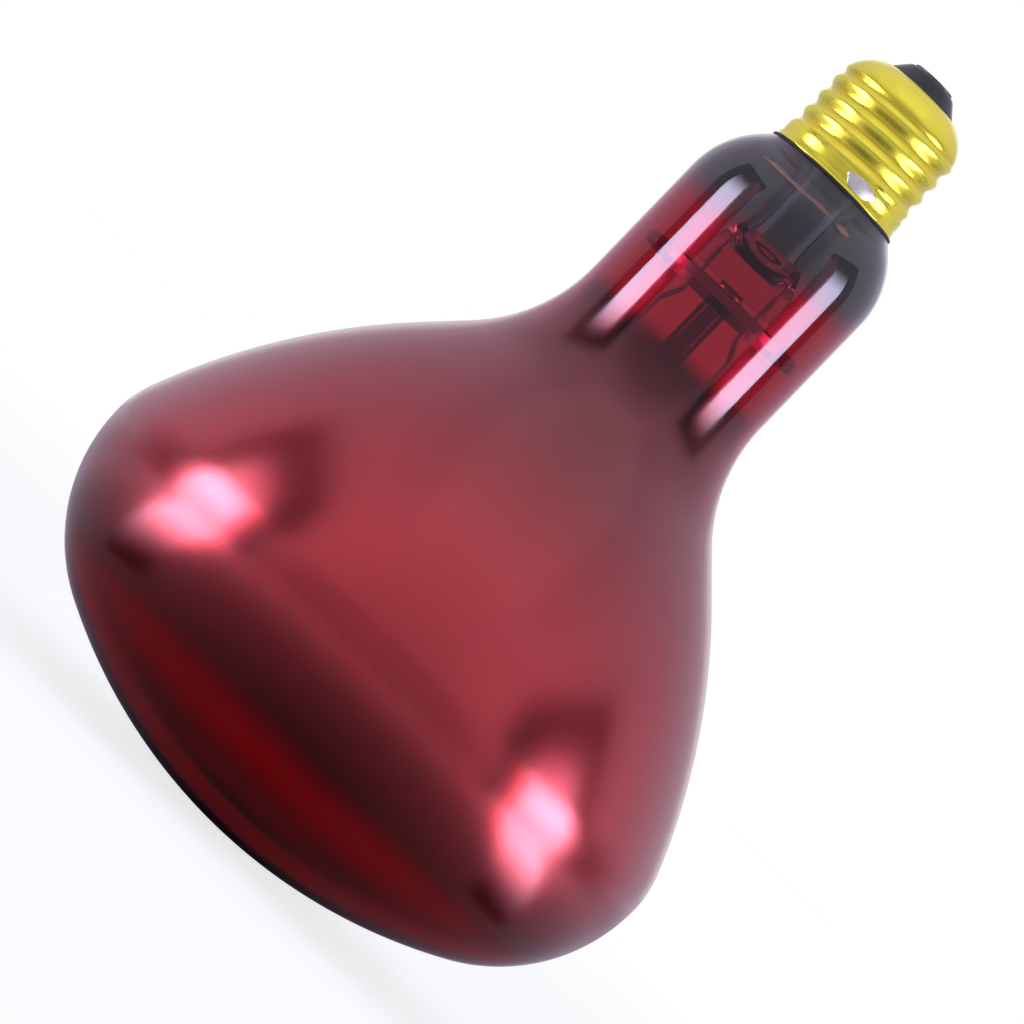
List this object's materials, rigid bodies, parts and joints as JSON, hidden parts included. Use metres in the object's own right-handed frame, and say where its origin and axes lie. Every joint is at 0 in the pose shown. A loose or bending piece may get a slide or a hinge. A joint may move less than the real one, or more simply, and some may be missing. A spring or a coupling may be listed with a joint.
{
  "type": "reflector bulb",
  "caption": "Red reflector heat lamp: blown glass bulb with a domed face, flared reflector body and cylindrical neck, on a brass screw cap, with filament, glass stem and heat shield inside.",
  "frame": {"origin": "lowest point of the domed face, on the lamp's axis", "axes": "+Z along the lamp's axis from the face to the cap; +X through the right-hand lead wire"},
  "size_m": [0.125, 0.125, 0.1801],
  "materials": {
    "ruby_glass": "gloss, satin where the reflector backs it",
    "clear_glass": "gloss",
    "brass": "bright rolled sheet",
    "black_glass": "gloss",
    "solder": "dull",
    "cement": "matte",
    "shield_metal": "satin",
    "nickel": "drawn wire",
    "copper": "drawn wire",
    "molybdenum": "drawn wire",
    "tungsten": "drawn wire"
  },
  "bodies": {
    "root": {"glass_bulb": "ruby_glass", "screw_shell": "brass", "insulator": "black_glass", "centre_contact": "brass", "contact_solder": "solder", "side_solder": "solder", "cement": "cement", "stem": "clear_glass", "exhaust_tube": "clear_glass", "arbor": "clear_glass", "heat_shield": "shield_metal", "inner_lead_left": "nickel", "inner_lead_right": "nickel", "centre_wire": "copper", "side_wire": "copper", "support_wire_1": "molybdenum", "support_wire_2": "molybdenum", "support_wire_3": "molybdenum", "support_wire_4": "molybdenum", "filament": "tungsten"}
  },
  "joints": []
}
